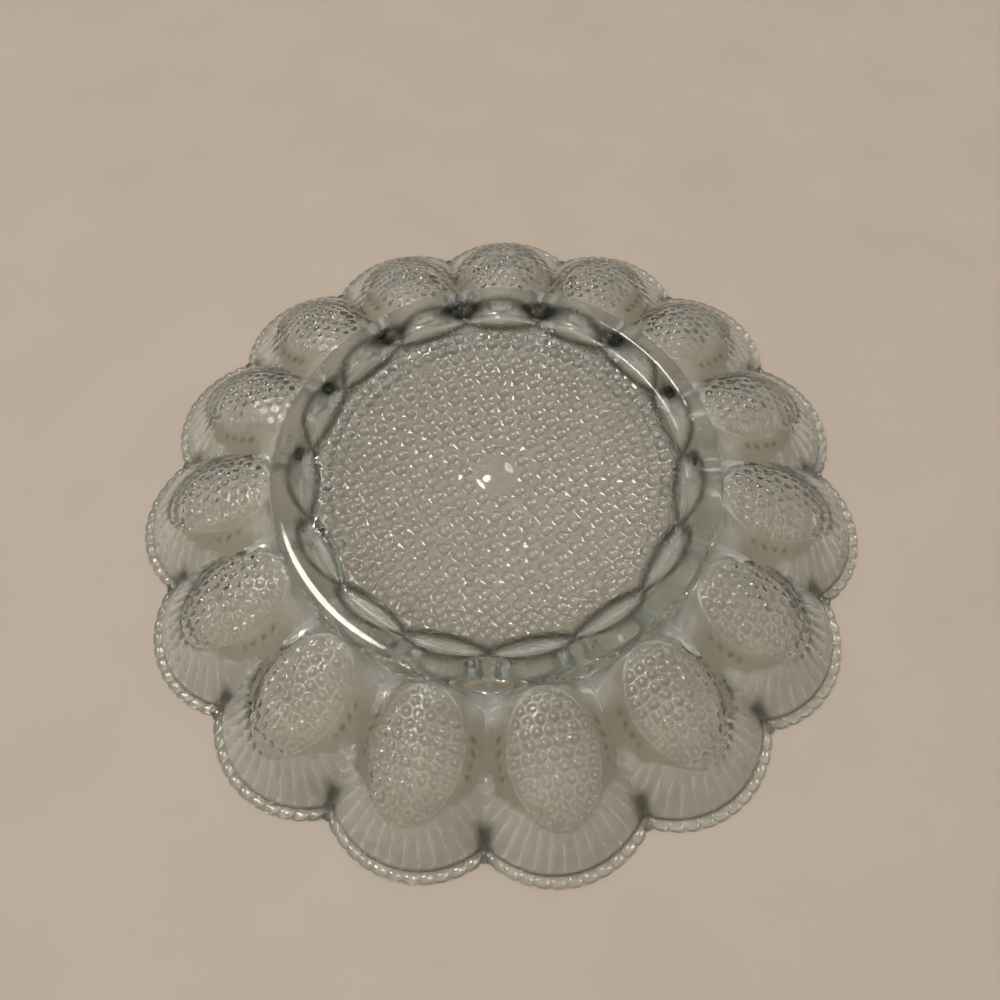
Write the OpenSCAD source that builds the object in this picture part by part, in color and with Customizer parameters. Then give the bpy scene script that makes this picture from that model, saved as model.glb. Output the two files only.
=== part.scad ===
// Deviled egg platter in clear pressed glass, standing on its beaded rim
// with the foot ring up. Z = 0 is the table, the axis runs through the boss.
// All lengths are in millimetres and all angles in degrees.

/* [Overall] */
// Width over two opposite scallop tips
platter_diameter = 279.4; // [200:0.2:360]
// Height from the rim to the crest of the foot ring
platter_height = 34.5; // [26:0.5:46]
// Glass between the use side and the underside
glass_thickness = 4; // [3:0.1:5]

/* [Egg wells] */
// Distance from the middle of a well to the scallop tip
well_tip_length = 36.7; // [30:0.1:44]
// Length of the hobnailed oval, along its slope
well_length = 43; // [34:0.5:50]
// Width of the hobnailed oval
well_width = 29; // [22:0.5:34]
// Height of the dome over the plane of its oval crease
dome_height = 4.7; // [3:0.1:7]
// Height of the crease's inner end over the edge of the dish
crease_end_height = 0.75; // [0:0.05:2]
// Fall of the oval towards the rim
slope_angle = 16.9; // [8:0.1:22]
// Depth of the crease round the hobnailed oval
crease_depth = 0.4; // [0.2:0.1:0.8]

/* [Scalloped skirt and rim] */
// Depth of the notches between the scallops
notch_depth = 9.7; // [5:0.1:14]
// Width of the beaded rim at the scallop tips
rim_width = 4; // [3:0.1:7]
// Thickness of the beaded rim
rim_thickness = 2.4; // [1.6:0.1:4]
// Bulge of the skirt between the crease and the rim
bulge_height = 0.7; // [0.3:0.1:1.5]
// Angle between neighbouring flutes and beads of a scallop
flute_angle = 8.5; // [7:0.1:12]
// Height of a flute over the skirt
flute_height = 0.6; // [0.3:0.1:1]
// Beads along the rim of a scallop
bead_count = 11; // [7:2:13]

/* [Foot ring] */
// Height of the foot ring over the edge of the dish
foot_height = 7.7; // [5:0.1:10]
// Width of the foot ring at its root
foot_root_width = 11.4; // [9:0.1:15]
// Distance of the crest's outer edge from the outer root
crest_setback_width = 2.4; // [1:0.1:4]
// Width of the flat crest that the platter stands on in use
crest_width = 6; // [4:0.5:8]
// Size of the bevels along the crest
bevel_width = 1.2; // [0.8:0.1:2]

/* [Centre dish] */
// Fall of the underside from the edge of the dish to its middle
dish_depth = 4.6; // [2:0.1:8]
// Plain band between the hobnailed field and the foot ring
band_width = 6.5; // [4:0.5:10]
// Height of the scalloped gallery wall between the dish and the wells
gallery_height = 10.8; // [6:0.1:14]
// Distance of the gallery wall inside the foot ring, on the axis of a well
gallery_setback_width = 5.5; // [3:0.1:8]
// Radius of each scallop of the gallery wall
gallery_scallop_radius = 53; // [44:0.5:70]
// Thickness of the gallery wall
gallery_thickness = 3.8; // [3:0.1:6]
// Diameter of the boss in the middle
boss_diameter = 15.2; // [10:0.2:20]
// Height of the boss
boss_height = 1.7; // [1:0.1:3]

/* [Hobnails of the dish] */
// Plain glass outside the middle of the outermost ring of hobnails
hob_margin_width = 2.3; // [2:0.1:6]
// Plain glass between two rings in the middle of the field
hob_gap_width = 1.25; // [0.5:0.05:2.5]
// Plain glass between the two outermost rings
hob_edge_gap_width = 0.4; // [0.1:0.05:1]
// Height of a hobnail
hob_height = 0.9; // [0.5:0.05:1.3]

/* [Hidden] */
$fn = 64;

glass_light = [0.80, 0.86, 0.80];
glass_mid = [0.70, 0.78, 0.70];
glass_deep = [0.58, 0.68, 0.58];

// Overrun of every cutting solid
over = 1;

// One sector of the platter holds one well, its axis along +X
well_count = 15;
sector_angle = 360 / well_count;
first_well_angle = 180;

// Radii from the scallop tips inwards, each set off from the one before
tip_radius = platter_diameter / 2;
notch_radius = tip_radius - notch_depth;
well_radius = tip_radius - well_tip_length;
well_plan_half = well_length / 2 * cos(slope_angle);
foot_outer_root = well_radius - well_plan_half;
foot_inner_root = foot_outer_root - foot_root_width;
crest_outer = foot_outer_root - crest_setback_width;
crest_inner = crest_outer - crest_width;
gallery_inner = foot_inner_root - gallery_setback_width;
field_radius = foot_inner_root - band_width;
hob_field = field_radius - hob_margin_width;
boss_radius = boss_diameter / 2;

// Heights from the crest of the foot ring down to the table
dish_edge = platter_height - foot_height;
dish_middle = dish_edge - dish_depth;
crease_middle = dish_edge + crease_end_height - well_length / 2 * sin(slope_angle);
ridge_top = dish_edge - glass_thickness - gallery_height;

// Scallop: an arc through the tip and both notches of the sector
scallop_centre = (pow(tip_radius, 2) - pow(notch_radius, 2))
  / (2 * (tip_radius - notch_radius * cos(sector_angle / 2)));
scallop_radius = tip_radius - scallop_centre;
wedge_reach = tip_radius / cos(sector_angle / 2) + over;

// Egg body: an arc turned about the sloping long axis of the well
well_girth = (pow(well_width / 2, 2) + pow(dome_height, 2)) / (2 * dome_height);
well_arc = (pow(well_length / 2, 2) + pow(dome_height, 2)) / (2 * dome_height);
well_axis_drop = well_girth - dome_height;
egg_reach_share = 0.78;
egg_reach = well_length * egg_reach_share;
oval_steps = 24;

// Skirt: an arc turned about the upright axis of the well
skirt_top_share = 0.94;
skirt_lap_share = 0.2;
skirt_root = well_tip_length - rim_width;
skirt_top = well_width / 2 * skirt_top_share;
skirt_drop = crease_middle + dome_height * skirt_lap_share - rim_thickness;
skirt_run = skirt_root - skirt_top;
skirt_chord = sqrt(pow(skirt_run, 2) + pow(skirt_drop, 2));
skirt_arc = (pow(skirt_chord / 2, 2) + pow(bulge_height, 2)) / (2 * bulge_height);
skirt_tilt = atan2(skirt_drop, skirt_run);
skirt_arc_back = skirt_arc - bulge_height;
skirt_arc_r = (skirt_root + skirt_top) / 2 - skirt_arc_back * sin(skirt_tilt);
skirt_arc_z = rim_thickness + skirt_drop / 2 - skirt_arc_back * cos(skirt_tilt);

// Flutes: slender cones laid side by side on the skirt
side_flute_count = 8;
flute_lap_share = 1.06;
bead_width_share = 0.99;
bead_inset_share = 0.4;
flute_root_radius = skirt_root * tan(flute_angle / 2) * flute_lap_share;
flute_top_radius = skirt_top * tan(flute_angle / 2) * flute_lap_share;
bead_radius = scallop_radius * tan(flute_angle / 2) * bead_width_share;

// Collar between the foot ring and the wells
collar_share = 1.3;
collar_radius = foot_outer_root + glass_thickness * collar_share;
collar_shoulder = dish_edge - glass_thickness * 2;

// Gallery wall: one shallow scallop on each well's axis
gallery_centre = gallery_inner + gallery_scallop_radius;
gallery_well_radius = gallery_scallop_radius - gallery_thickness;

// Dished field: its height grows with the square of the radius
field_sag_share = 0.92;
field_sag = dish_depth * field_sag_share;

// Hobnail rings: place of each between the boss and the outermost ring
hob_ring_shares = [0.068, 0.192, 0.301, 0.41, 0.52, 0.635, 0.74, 0.837, 0.921, 1];
hob_ring_counts = [10, 16, 23, 29, 35, 40, 52, 61, 70, 79];
hob_ring_turns = [25, 18, 12, 5, 9, 2, 6, 3, 0, 4];
// Clearance of a flat hobnail over the slightly sloping floor
hob_seat_height = 0.01;

// Turns children from the +X axis to well number k, counted from 1
module at_well(k) {
  rotate([0, 0, first_well_angle + (k - 1) * sector_angle])
    children();
}

// Upright wedge of the sector on +X, from the table to above the foot
module sector_wedge() {
  linear_extrude(height = platter_height)
    polygon([[0, 0],
      [wedge_reach * cos(sector_angle / 2), -wedge_reach * sin(sector_angle / 2)],
      [wedge_reach * cos(sector_angle / 2), wedge_reach * sin(sector_angle / 2)]]);
}

// Egg-shaped body of a well, grown by g on every side
module egg_body(g) {
  translate([well_radius, 0, crease_middle])
    rotate([0, slope_angle, 0])
      translate([0, 0, -well_axis_drop])
        rotate([0, 90, 0])
          rotate_extrude($fn = 96)
            intersection() {
              translate([well_girth - well_arc, 0])
                circle(r = well_arc + g, $fn = 180);
              translate([0, -egg_reach])
                square([well_arc, 2 * egg_reach]);
            }
}

// Upright prism over the oval crease
module oval_prism() {
  linear_extrude(height = platter_height)
    polygon([for (i = [0 : oval_steps - 1])
      [well_radius + well_plan_half * cos(i * 360 / oval_steps),
        well_width / 2 * sin(i * 360 / oval_steps)]]);
}

// Bulged skirt round a well, grown by g on every side
module skirt_body(g) {
  translate([well_radius, 0, 0])
    rotate_extrude($fn = 96)
      intersection() {
        translate([skirt_arc_r, skirt_arc_z])
          circle(r = skirt_arc + g, $fn = 360);
        translate([0, -over])
          square([skirt_root + over, rim_thickness + skirt_drop + g + over]);
      }
}

// One flute lies on the skirt along +X
module flute() {
  base_x = skirt_root - (flute_root_radius - flute_height) * sin(skirt_tilt);
  base_z = rim_thickness - (flute_root_radius - flute_height) * cos(skirt_tilt);
  translate([base_x, 0, base_z])
    rotate([0, skirt_tilt - 90, 0])
      cylinder(h = skirt_chord, r1 = flute_root_radius, r2 = flute_top_radius, $fn = 24);
}

module flutes() {
  translate([well_radius, 0, 0])
    for (i = [-side_flute_count : side_flute_count])
      rotate([0, 0, i * flute_angle])
        flute();
}

// Flat rim with its beads
module beaded_rim() {
  linear_extrude(height = rim_thickness)
    union() {
      translate([scallop_centre, 0])
        circle(r = scallop_radius - bead_radius * bead_inset_share, $fn = 180);
      translate([scallop_centre, 0])
        for (i = [-(bead_count - 1) / 2 : (bead_count - 1) / 2])
          rotate([0, 0, i * flute_angle])
            translate([scallop_radius - bead_radius, 0])
              circle(r = bead_radius, $fn = 24);
    }
}

// Collar under the foot ring and down into the valleys
module collar() {
  translate([0, 0, collar_shoulder])
    cylinder(h = dish_edge - collar_shoulder, r1 = collar_radius,
      r2 = foot_outer_root, $fn = 180);
  translate([0, 0, ridge_top])
    cylinder(h = collar_shoulder - ridge_top, r = collar_radius, $fn = 180);
}

// Scallops of the gallery wall at radius r, as one outline
module gallery_scallops(r) {
  for (k = [1 : well_count])
    at_well(k)
      translate([gallery_centre, 0])
        circle(r = r, $fn = 180);
}

// Space of one well on the use side
module well_space() {
  egg_body(-glass_thickness);
  skirt_body(-glass_thickness);
}

module lobe(k) {
  color(glass_mid)
    at_well(k)
      lobe_form();
}

module lobe_form() {
  difference() {
    intersection() {
      union() {
        egg_body(0);
        skirt_body(0);
        flutes();
        beaded_rim();
        collar();
      }
      sector_wedge();
      translate([gallery_centre, 0, 0])
        cylinder(h = platter_height, r = gallery_well_radius, $fn = 180);
    }
    well_space();
    oval_prism();
    translate([0, 0, -over])
      cylinder(h = ridge_top + over, r = well_radius, $fn = 180);
    translate([0, 0, dish_edge - glass_thickness])
      cylinder(h = platter_height, r = foot_inner_root, $fn = 180);
    translate([0, 0, dish_edge])
      cylinder(h = platter_height, r = foot_outer_root + over, $fn = 180);
  }
}

module egg_well(k) {
  color(glass_light)
    at_well(k)
      egg_well_form();
}

module egg_well_form() {
  difference() {
    intersection() {
      oval_prism();
      egg_body(crease_depth);
    }
    well_space();
  }
}

// Radius of hobnail ring i, counted from 1
function ring_radius(i) = boss_radius + (hob_field - boss_radius) * hob_ring_shares[i - 1];

// Distance from hobnail ring i to the ring outside it
function ring_step(i) = ring_radius(i + 1) - ring_radius(i);

// Outer edge of the floor's zone i: 0 lies under the boss, i under ring i
function zone_edge(i) = i == 0 ? (boss_radius + ring_radius(1)) / 2
  : i == len(hob_ring_shares) ? field_radius
  : (ring_radius(i) + ring_radius(i + 1)) / 2;

// Height of the underside at the outer edge of zone i
function zone_height(i) = dish_middle + field_sag
  * (pow(zone_edge(i), 2) - pow(zone_edge(0), 2))
  / (pow(field_radius, 2) - pow(zone_edge(0), 2));

// Rise of the underside across zone i over its width
function zone_rise(i) = (zone_height(i) - zone_height(i - 1))
  / (zone_edge(i) - zone_edge(i - 1));

// Face of the dish raised by lift, as points from the axis to the foot ring
function dish_face(lift) = concat([[0, dish_middle + lift]],
  [for (i = [0 : len(hob_ring_shares)]) [zone_edge(i), zone_height(i) + lift]],
  [[field_radius, dish_edge + lift], [foot_inner_root, dish_edge + lift]]);

function reversed(points) = [for (j = [len(points) - 1 : -1 : 0]) points[j]];

module centre_floor() {
  color(glass_light)
    rotate_extrude($fn = 144)
      polygon(concat(dish_face(-glass_thickness), reversed(dish_face(0))));
}

// Radius of the sphere whose cap has width d and height h
function cap_radius(d, h) = (pow(d / 2, 2) + pow(h, 2)) / (2 * h);

// Spherical cap of width d and height h, flat side down on Z = 0
module cap(d, h) {
  rotate_extrude($fn = 48)
    intersection() {
      translate([0, h - cap_radius(d, h)])
        circle(r = cap_radius(d, h), $fn = 144);
      square([d, h]);
    }
}

module centre_boss() {
  color(glass_mid)
    translate([0, 0, dish_middle])
      cap(boss_diameter, boss_height);
}

// Width of a hobnail of ring i, from the steps between the rings
function hob_width(i) =
  let (middle = ring_step(3) - hob_gap_width)
  let (edge = ring_step(len(hob_ring_shares) - 1) - hob_edge_gap_width)
  middle + (edge - middle) * pow(hob_ring_shares[i - 1], 4);

module hob_ring(i) {
  r = ring_radius(i);
  seat = zone_height(i - 1) + zone_rise(i) * (r - zone_edge(i - 1));
  color(glass_mid)
    for (j = [1 : hob_ring_counts[i - 1]])
      rotate([0, 0, hob_ring_turns[i - 1] + j * 360 / hob_ring_counts[i - 1]])
        translate([r, 0, seat + hob_seat_height])
          rotate([0, -atan(zone_rise(i)), 0])
            cap(hob_width(i), hob_height);
}

module gallery_wall() {
  color(glass_deep)
    translate([0, 0, ridge_top])
      linear_extrude(height = gallery_height)
        intersection() {
          difference() {
            gallery_scallops(gallery_scallop_radius);
            gallery_scallops(gallery_well_radius);
          }
          circle(r = crest_outer, $fn = 180);
        }
}

module foot_ring() {
  color(glass_mid)
    rotate_extrude($fn = 180)
      polygon([[foot_inner_root, dish_edge],
        [foot_outer_root, dish_edge],
        [crest_outer + bevel_width, platter_height - bevel_width],
        [crest_outer, platter_height],
        [crest_inner, platter_height],
        [crest_inner - bevel_width, platter_height - bevel_width]]);
}

centre_floor();
centre_boss();
hob_ring(1);  // hob_ring_01
hob_ring(2);  // hob_ring_02
hob_ring(3);  // hob_ring_03
hob_ring(4);  // hob_ring_04
hob_ring(5);  // hob_ring_05
hob_ring(6);  // hob_ring_06
hob_ring(7);  // hob_ring_07
hob_ring(8);  // hob_ring_08
hob_ring(9);  // hob_ring_09
hob_ring(10);  // hob_ring_10
gallery_wall();
foot_ring();
egg_well(1);  // egg_well_01
egg_well(2);  // egg_well_02
egg_well(3);  // egg_well_03
egg_well(4);  // egg_well_04
egg_well(5);  // egg_well_05
egg_well(6);  // egg_well_06
egg_well(7);  // egg_well_07
egg_well(8);  // egg_well_08
egg_well(9);  // egg_well_09
egg_well(10);  // egg_well_10
egg_well(11);  // egg_well_11
egg_well(12);  // egg_well_12
egg_well(13);  // egg_well_13
egg_well(14);  // egg_well_14
egg_well(15);  // egg_well_15
lobe(1);  // lobe_01
lobe(2);  // lobe_02
lobe(3);  // lobe_03
lobe(4);  // lobe_04
lobe(5);  // lobe_05
lobe(6);  // lobe_06
lobe(7);  // lobe_07
lobe(8);  // lobe_08
lobe(9);  // lobe_09
lobe(10);  // lobe_10
lobe(11);  // lobe_11
lobe(12);  // lobe_12
lobe(13);  // lobe_13
lobe(14);  // lobe_14
lobe(15);  // lobe_15
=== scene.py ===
# Deviled egg platter in clear pressed glass, dressed over its CAD solids.
# The platter lies on its beaded rim with the foot ring up. Lengths inside the
# shape functions are in millimetres, objects and properties are in metres.

import math

import bmesh
import bpy
import numpy as np
from mathutils import Matrix, Vector
from mathutils.geometry import delaunay_2d_cdt


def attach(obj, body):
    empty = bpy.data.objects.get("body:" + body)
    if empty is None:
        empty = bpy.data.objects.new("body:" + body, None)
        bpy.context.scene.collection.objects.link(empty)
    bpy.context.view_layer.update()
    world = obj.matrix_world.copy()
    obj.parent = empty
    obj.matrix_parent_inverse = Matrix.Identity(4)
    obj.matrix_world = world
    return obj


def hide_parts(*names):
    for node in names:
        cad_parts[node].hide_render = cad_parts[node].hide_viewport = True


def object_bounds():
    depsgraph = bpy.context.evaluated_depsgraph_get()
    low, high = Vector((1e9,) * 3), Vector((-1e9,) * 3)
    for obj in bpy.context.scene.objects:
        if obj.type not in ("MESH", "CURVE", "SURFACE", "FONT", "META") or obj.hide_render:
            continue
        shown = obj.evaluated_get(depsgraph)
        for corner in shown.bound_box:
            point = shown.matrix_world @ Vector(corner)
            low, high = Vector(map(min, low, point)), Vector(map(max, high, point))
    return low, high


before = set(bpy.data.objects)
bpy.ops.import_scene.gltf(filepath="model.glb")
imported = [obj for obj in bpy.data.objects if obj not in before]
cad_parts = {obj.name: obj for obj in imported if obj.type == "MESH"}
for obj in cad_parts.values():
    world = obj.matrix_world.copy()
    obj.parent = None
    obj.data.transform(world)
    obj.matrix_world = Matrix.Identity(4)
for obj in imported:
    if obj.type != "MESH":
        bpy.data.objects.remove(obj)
CAD_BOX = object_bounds()

bl_info = {
    "name": "Deviled egg platter",
    "version": (1, 0, 0),
    "blender": (4, 5, 0),
    "location": "View3D > Sidebar > Platter",
    "description": "Builds the pressed-glass platter and its plain studio",
    "category": "Add Mesh",
}

MM = 0.001

# Sizes shared with the CAD solids
TIP = -CAD_BOX[0].x / MM
WELLS = 15
FIRST_WELL = 180.0
SECTOR = 360.0 / WELLS
HALF = math.radians(SECTOR / 2)
WELL_R = 103.0
WELL_LENGTH = 43.0
WELL_WIDTH = 29.0
WELL_RISE = 4.7
CREASE_Z = 21.3
SLOPE = math.radians(16.9)
NOTCH = TIP - 9.7
RIM_WIDTH = 4.0
RIM_Z = 2.4
BEADS = 11
HOB_ROWS = (4, 5, 6, 7, 6, 7, 6, 7, 6, 5, 4)
BEAD_STEP = 8.5
RIDGE_Z = 12.0
GALLERY_C = 118.5
GALLERY_IN = 53.0
GALLERY_OUT = 49.2
WALL_MIDDLE = (GALLERY_IN + GALLERY_OUT) / 2
SCALLOP_ARC = max(GALLERY_IN, GALLERY_OUT)
FLOOR_Z = 22.2
FLOOR_EDGE_Z = 26.8
FLOOR_SAG = 4.23
FIELD = 64.5
BOSS_D = 15.2
BOSS_RISE = 1.7
HOB_FIELD = 62.2
RING_SHARES = (0.182, 0.291, 0.386, 0.482, 0.579, 0.680, 0.772, 0.857, 0.931, 1.0)
RING_COUNTS = (10, 16, 23, 29, 35, 40, 52, 61, 70, 79)
RING_TURNS = (25, 18, 12, 5, 9, 2, 6, 3, 0, 4)

# Section through the foot ring and its collar: radius and height
FOOT_SECTION = (
    (60.0, 26.8), (69.4, 26.8), (70.4, 26.95), (71.1, 27.5), (71.6, 29.0),
    (72.1, 31.0), (72.6, 32.6), (73.2, 33.6), (74.1, 34.25), (75.3, 34.46),
    (77.0, 34.5), (78.6, 34.46), (79.8, 34.25), (80.6, 33.6), (81.2, 32.6),
    (81.7, 31.0), (82.1, 29.3), (82.5, 27.7), (83.2, 26.3), (84.5, 24.4),
    (87.6, 18.8), (92.0, 6.0), (200.0, -300.0),
)

# Radii where a sector's two faces meet those of the dish
TOP_JOIN = 68.0
BASE_JOIN = 64.0

# Radius where the wells take over from the foot ring, and the fillet beyond it
WELL_START = 81.7
FOOT_FILLET = 2.4

# Square of the radius inside which the dished floor is flat
FLAT_SQUARED = 90.0

# The skirt bulges by this much, and inside its crease lies this far under the well's dome
SKIRT_BULGE = 0.7
SKIRT_RECESS = 3.0

# Height for a place that a surface doesn't reach
NOWHERE = -40.0

# Half width of the groove round the dome, as a share of the oval
GROOVE_SHARE = 0.03

# The ridges between the wells rise by this much beside their crest, over this spread,
# and meet the wells in a fillet that is wide by the gallery and narrower further out
RIDGE_SWELL = 2.6
RIDGE_SPREAD = 90.0
RIDGE_FILLET = (5.4, 2.4)

# The gallery wall's lower edge: half the width of its flat, the curve beyond it and its fillet
WALL_FLAT = 0.3
WALL_CURVE = 1.28
WALL_FILLET = 2.4

# Widths of a lens of the scalloped chain and of the crest over it: at the notch line,
# and what each gains on a well's axis
CHAIN_WIDTH = (0.8, 8.0)
CREST_WIDTH = (0.4, 2.6)

# Share of whitening on each place of the glass: painted highlights and reflections on the hobnails, flutes,
# beads, crease, lenses, boss and dish, with added roughness
HAZE_AND_HIGHLIGHT = {"dome": 0.12, "between": 0.45, "hobnail": 0.75, "flute": 0.5, "crease": 0.4, "lens": 0.5,
         "saddle": 0.7, "under": 0.7, "bead": 0.25, "boss": 0.25, "boss_edge": 0.3, "dish": 0.35}

# Share of the dark colour on each place of the glass, and on the rim's columns up to the notch: painted shade
# along the chain, the wall, the valleys by the notch, the steep sides and the rim's edges
PAINTED_SHADE = {"notch": 0.85, "side": 0.75, "chain": 0.9, "wall": 0.4, "rim_edge": 0.4, "rim_foot": 0.6}
NOTCH_PAINTED_SHADE = (0.15, 0.15, 0.3, 0.3, 0.6, 0.6, 0.6, 0.6)

# Columns across a bead or flute, and degrees between the dark spots on a well's sides
BEAD_SHARES = (-0.5, -0.42, -0.25, 0.0, 0.25, 0.42)
SIDE_STEP = 13.0

# Mesh: least distance between points, distance between filling points, and the height
# of a row of them as a share of that
POINT_GAP = 0.3
DISH_GAP = 0.34
TOP_FILL = 2.0
BASE_FILL = 3.2
ROW_SHARE = 0.866
MOST_TRIANGLES = 200000

# Sockets of a Mix node that blends two colours
MIX_A, MIX_B, MIX_OUT = 6, 7, 2

# Stage, in metres: half the table's width, the gap that keeps the glass off it, and the
# point of the table that the camera looks at
TABLE_REACH = 3.0
TABLE_GAP = 0.0001
AIM = Vector((0.00115595, 0.00029062, 0))
SENSOR_WIDTH = 36.0


def arc_radius(width, rise):
    """Radius of the arc over a chord of that width with that rise."""
    return ((width / 2) ** 2 + rise**2) / (2 * rise)


GIRTH = arc_radius(WELL_WIDTH, WELL_RISE)
LONG = arc_radius(WELL_LENGTH, WELL_RISE)
DROP = GIRTH - WELL_RISE
PLAN_HALF = WELL_LENGTH / 2 * math.cos(SLOPE)

SCALLOP_C = (TIP**2 - NOTCH**2) / (2 * (TIP - NOTCH * math.cos(HALF)))
SCALLOP_R = TIP - SCALLOP_C
ROOT = TIP - RIM_WIDTH - WELL_R
SKIRT_IN = WELL_WIDTH / 2 * 0.94
SKIRT_DROP = CREASE_Z + WELL_RISE * 0.2 - RIM_Z
SKIRT_CHORD = math.hypot(ROOT - SKIRT_IN, SKIRT_DROP)
SKIRT_ARC = arc_radius(SKIRT_CHORD, SKIRT_BULGE)
SKIRT_TILT = math.atan2(SKIRT_DROP, ROOT - SKIRT_IN)
SKIRT_R = (ROOT + SKIRT_IN) / 2 - (SKIRT_ARC - SKIRT_BULGE) * math.sin(SKIRT_TILT)
SKIRT_Z = RIM_Z + SKIRT_DROP / 2 - (SKIRT_ARC - SKIRT_BULGE) * math.cos(SKIRT_TILT)


def notch_reach(centre, radius):
    """Distance from the axis at which a circle on the well's axis meets the notch line."""
    side = centre * math.cos(HALF)
    return side + math.sqrt(side**2 - centre**2 + radius**2)


LEDGE_NOTCH = notch_reach(WELL_R, ROOT)
LEDGE_END = math.atan2(LEDGE_NOTCH * math.sin(HALF), LEDGE_NOTCH * math.cos(HALF) - WELL_R)
RIM_END = math.atan2(NOTCH * math.sin(HALF), NOTCH * math.cos(HALF) - SCALLOP_C)
FAN = LEDGE_END / RIM_END

# Directions along the notch line and across it, and the middle of the well
NOTCH_WAY = np.array((math.cos(HALF), math.sin(HALF)))
NOTCH_SIDE = np.array((-math.sin(HALF), math.cos(HALF)))
WELL_MIDDLE = np.array((WELL_R, 0.0))


# Shape functions


def smoothstep(low, high, x):
    t = np.clip((x - low) / (high - low), 0, 1)
    return t * t * (3 - 2 * t)


def fade(low, high, x):
    return 1 - smoothstep(low, high, x)


def band(start, full, fading, end, x):
    """1 from full to fading, 0 before start and after end."""
    return smoothstep(start, full, x) * fade(fading, end, x)


def smooth_max(a, b, fillet):
    """The higher of two heights, with a fillet where they meet."""
    h = np.clip(0.5 + 0.5 * (a - b) / fillet, 0, 1)
    return b + (a - b) * h + fillet * h * (1 - h)


def smooth_min(a, b, fillet):
    """The lower of two heights, with a fillet where they meet."""
    return -smooth_max(-a, -b, fillet)


def cap_relief(d, half, rise):
    """Height of a round cap at a distance from its middle."""
    ball = arc_radius(2 * half, rise)
    return np.where(d < half, np.sqrt(np.clip(ball**2 - d**2, 0, None)) - (ball - rise), 0.0)


def direction(angle):
    return np.array((math.cos(angle), math.sin(angle)))


def sector_place(u, v):
    """Distance from the axis, turn from the well's axis, and distance from the notch line."""
    reach = np.hypot(u, v)
    turn = np.abs(np.arctan2(v, u))
    return reach, turn, reach * np.sin(HALF - turn)


def well_place(u, v):
    """Angle in degrees from the outward end of the well's axis, and distance from its middle."""
    return np.degrees(np.abs(np.arctan2(v, u - WELL_R))), np.hypot(u - WELL_R, v)


def egg_height(u, v, grow):
    """Height of the egg body, which is turned about a sloping long axis. The height sets the place
    along that axis, and the place sets the height, so the two are found by turns."""
    dx = u - WELL_R
    dz = np.full_like(dx, 3.0)
    for _ in range(14):
        along = dx * math.cos(SLOPE) - dz * math.sin(SLOPE)
        span = (LONG + grow) ** 2 - along**2
        radius = np.sqrt(np.clip(span, 0, None)) + GIRTH - LONG
        lift = np.clip(radius, 0, None) ** 2 - v**2
        up = np.sqrt(np.clip(lift, 0, None)) - DROP
        dz = (up - dx * math.sin(SLOPE)) / math.cos(SLOPE)
    inside = (span > 0) & (radius > 0) & (lift > 0)
    return np.where(inside, CREASE_Z + dz, NOWHERE)


def skirt_height(r, grow):
    """Height of the bulged skirt at a distance from the well's upright axis."""
    span = (SKIRT_ARC + grow) ** 2 - (r - SKIRT_R) ** 2
    z = SKIRT_Z + np.sqrt(np.clip(span, 0, None))
    return np.minimum(z, RIM_Z + SKIRT_DROP + grow)


def oval_share(u, v):
    """Plan distance from the middle of the well as a share of the oval crease."""
    return np.hypot((u - WELL_R) / PLAN_HALF, v / (WELL_WIDTH / 2))


def crease_line(u, v):
    """Distance from the well's middle to the crease, in a point's direction."""
    return np.hypot(u - WELL_R, v) / np.clip(oval_share(u, v), 1e-6, None)


def flute_place(u, v):
    """Place across the nearest flute, from -0.5 to 0.5, and how far the flutes have risen there."""
    phi, r = well_place(u, v)
    step = BEAD_STEP * FAN
    across = phi / step - np.round(phi / step)
    starts = crease_line(u, v) + 0.5 + 4.5 * smoothstep(35, 75, phi)
    return across, smoothstep(0, 1.6, r - starts) * fade(78, 92, phi)


def flute_relief(u, v, rise):
    """Rounded flutes that run down the skirt, one to each bead of the rim."""
    across, risen = flute_place(u, v)
    r = np.hypot(u - WELL_R, v)
    return rise * np.sqrt(1 - (1.8 * across) ** 2) * risen * (0.5 + 0.5 * r / ROOT)


def well_hobnails(row_step):
    """Hobnail centres of a well, along its slope and across it, in rows laid like bricks."""
    places = []
    for i, count in enumerate(HOB_ROWS):
        along = (i - (len(HOB_ROWS) - 1) / 2) * row_step
        width = WELL_WIDTH * math.sqrt(1 - (2 * along / WELL_LENGTH) ** 2)
        places += [(along, ((2 * j + 1) / count - 1) * width / 2) for j in range(count)]
    return np.array(places)


class WellPattern:
    """Hobnails of a well: their places and the relief that they give."""

    def __init__(self, row_step, width, rise):
        self.rise = rise
        self.places = well_hobnails(row_step)
        self.half = width / 2

    def flat(self, u, v):
        return np.c_[(u - WELL_R) / math.cos(SLOPE), v]

    def plan(self, places):
        return np.c_[WELL_R + places[:, 0] * math.cos(SLOPE), places[:, 1]]

    def nearest(self, u, v):
        """Distances to the nearest hobnail and to the one after it."""
        spots = self.flat(np.ravel(u), np.ravel(v))
        d = np.sort(np.sqrt(((spots[:, None] - self.places[None]) ** 2).sum(2)), axis=1)
        return d[:, 0].reshape(np.shape(u)), d[:, 1].reshape(np.shape(u))

    def relief(self, u, v):
        return cap_relief(self.nearest(u, v)[0], self.half, self.rise)


def well_body(u, v, form, pattern):
    """One well with its skirt, without its neighbours."""
    share = oval_share(u, v)
    skirt = skirt_height(np.hypot(u - WELL_R, v), 0.0) + flute_relief(u, v, form["flute_rise"])
    z = smooth_max(egg_height(u, v, 0.0), skirt - SKIRT_RECESS * fade(0.93, 1.0, share), 1.0)
    z = z + fade(0.985, 1.0, share) * (pattern.relief(u, v) + form["crease"])
    groove = np.clip(1 - np.abs(share - 1.0) / GROOVE_SHARE, 0, 1)
    return z - form["crease"] * groove


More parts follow.
